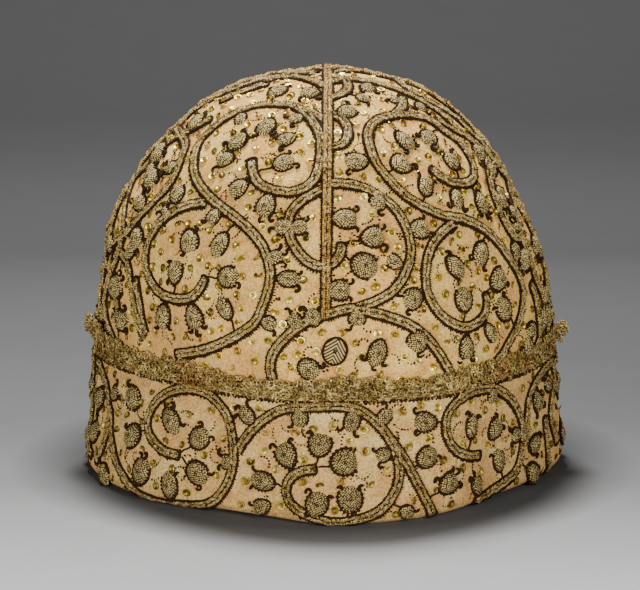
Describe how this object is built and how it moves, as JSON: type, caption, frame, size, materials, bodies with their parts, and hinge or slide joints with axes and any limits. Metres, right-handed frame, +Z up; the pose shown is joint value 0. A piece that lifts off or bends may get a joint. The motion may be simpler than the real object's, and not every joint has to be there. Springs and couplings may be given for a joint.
{
  "type": "mens cap",
  "caption": "Soft domed linen nightcap of four gores with a turned-up brim, scrolling metal-thread embroidery, spangles and a metal lace edging.",
  "frame": {"origin": "centre of the bounding box in plan, on the plane that the cap stands on", "axes": "+Z up through the top of the crown, -Y towards the front seam, +X towards the right seam as seen from the front"},
  "size_m": [0.2062, 0.208, 0.168],
  "materials": {
    "linen": "matte plain-weave linen, aged to a pinkish tan and covered with embroidery",
    "gold_lace": "bobbin lace of gilt metal thread, softly shining",
    "silver_gilt_braid": "plaited silver-gilt thread, tarnished to a grey gold, edged with black silk"
  },
  "bodies": {
    "root": {"crown": "linen", "brim": "linen", "lace_edging": "gold_lace", "seam_braid_front_back": "silver_gilt_braid", "seam_braid_left": "silver_gilt_braid", "seam_braid_right": "silver_gilt_braid"}
  },
  "joints": []
}
